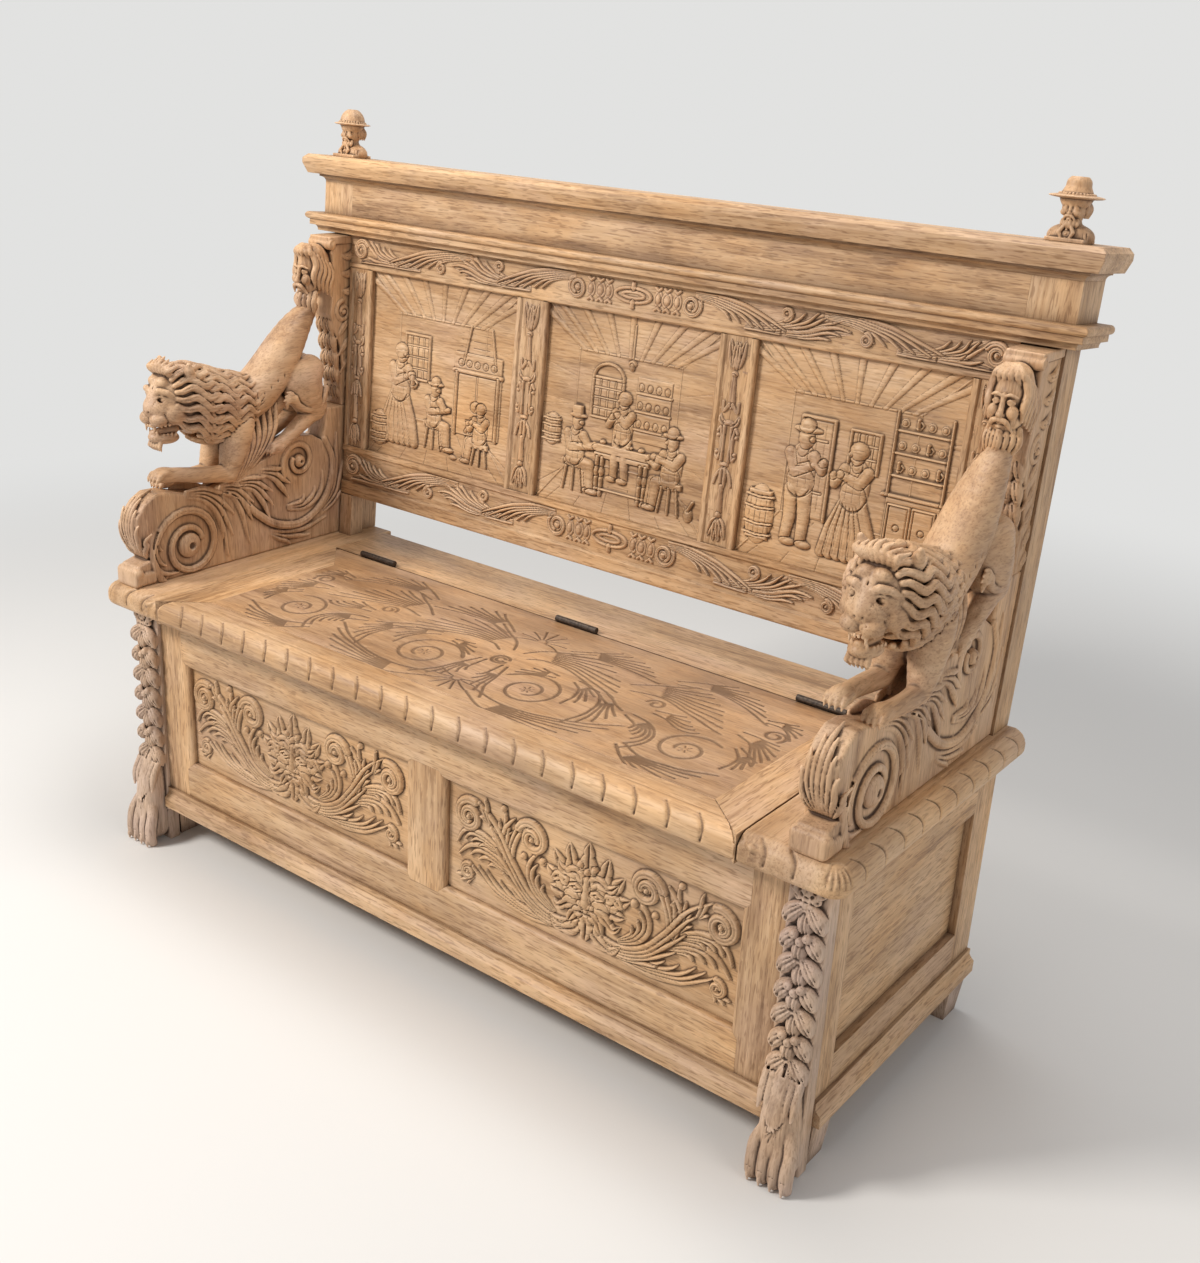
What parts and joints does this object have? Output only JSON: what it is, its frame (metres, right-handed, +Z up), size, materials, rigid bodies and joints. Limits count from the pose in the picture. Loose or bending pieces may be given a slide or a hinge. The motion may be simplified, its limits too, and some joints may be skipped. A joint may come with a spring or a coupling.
{
  "type": "carved hall bench with lidded box seat",
  "caption": "Carved oak hall bench: panelled box seat with a hinged lid, lion arms on scroll brackets, raked back with scene panels, friezes and hatted bust finials.",
  "frame": {"origin": "middle of the floor area that the bench's outline covers, at floor level", "axes": "+X to the viewer's right along the seat, +Y from the front to the back, +Z up"},
  "size_m": [1.402, 0.5738, 1.2005],
  "materials": {
    "oak_pale": "stripped and waxed oak, satin",
    "oak_carved": "carved oak, satin, darker in the hollows",
    "oak_dark": "carved oak lid, worn wax",
    "oak_grey": "greyed oak, dull wax",
    "oak_plain": "plain sawn oak, unpolished",
    "hinge_iron": "dark iron, satin"
  },
  "bodies": {
    "bench": {"back_bottom_rail": "oak_pale", "back_centre_panel": "oak_pale", "back_left_panel": "oak_pale", "back_right_panel": "oak_pale", "back_top_rail": "oak_pale", "cornice": "oak_pale", "floor_boards": "oak_plain", "floor_cleats": "oak_plain", "foot_blocks": "oak_grey", "frieze_board": "oak_pale", "frieze_end_blocks": "oak_pale", "front_base_moulding": "oak_pale", "front_bottom_rail": "oak_pale", "front_left_panel": "oak_pale", "front_left_stile": "oak_pale", "front_muntin": "oak_pale", "front_right_panel": "oak_pale", "front_right_stile": "oak_pale", "front_top_rail": "oak_pale", "hinge_bench_leaves": "hinge_iron", "hinge_pins": "hinge_iron", "left_arm_board": "oak_carved", "left_back_muntin": "oak_pale", "left_back_post": "oak_pale", "left_back_stile": "oak_pale", "left_end_bottom_rail": "oak_pale", "left_end_front_stile": "oak_pale", "left_end_panel": "oak_pale", "left_end_rear_stile": "oak_pale", "left_end_top_rail": "oak_pale", "left_finial": "oak_carved", "left_lion": "oak_carved", "left_pilaster_leg": "oak_grey", "left_seat_board": "oak_pale", "left_term_mask": "oak_carved", "rear_bottom_rail": "oak_plain", "rear_panel": "oak_plain", "rear_seat_board": "oak_pale", "rear_top_rail": "oak_plain", "right_arm_board": "oak_carved", "right_back_muntin": "oak_pale", "right_back_post": "oak_pale", "right_back_stile": "oak_pale", "right_end_bottom_rail": "oak_pale", "right_end_front_stile": "oak_pale", "right_end_panel": "oak_pale", "right_end_rear_stile": "oak_pale", "right_end_top_rail": "oak_pale", "right_finial": "oak_carved", "right_lion": "oak_carved", "right_pilaster_leg": "oak_grey", "right_seat_board": "oak_pale", "right_term_mask": "oak_carved", "side_base_mouldings": "oak_pale", "string_moulding": "oak_pale"},
    "lid": {"lid_front_rail": "oak_pale", "lid_left_stile": "oak_pale", "lid_right_stile": "oak_pale", "lid_panel": "oak_dark", "hinge_lid_leaves": "hinge_iron"}
  },
  "joints": [
    {"name": "lid_hinge", "type": "hinge", "parent": "bench", "child": "lid", "pos_m": [0, 0.10308, 0.4753], "axis": [-1, 0, 0], "range_deg": [0, 100]}
  ]
}
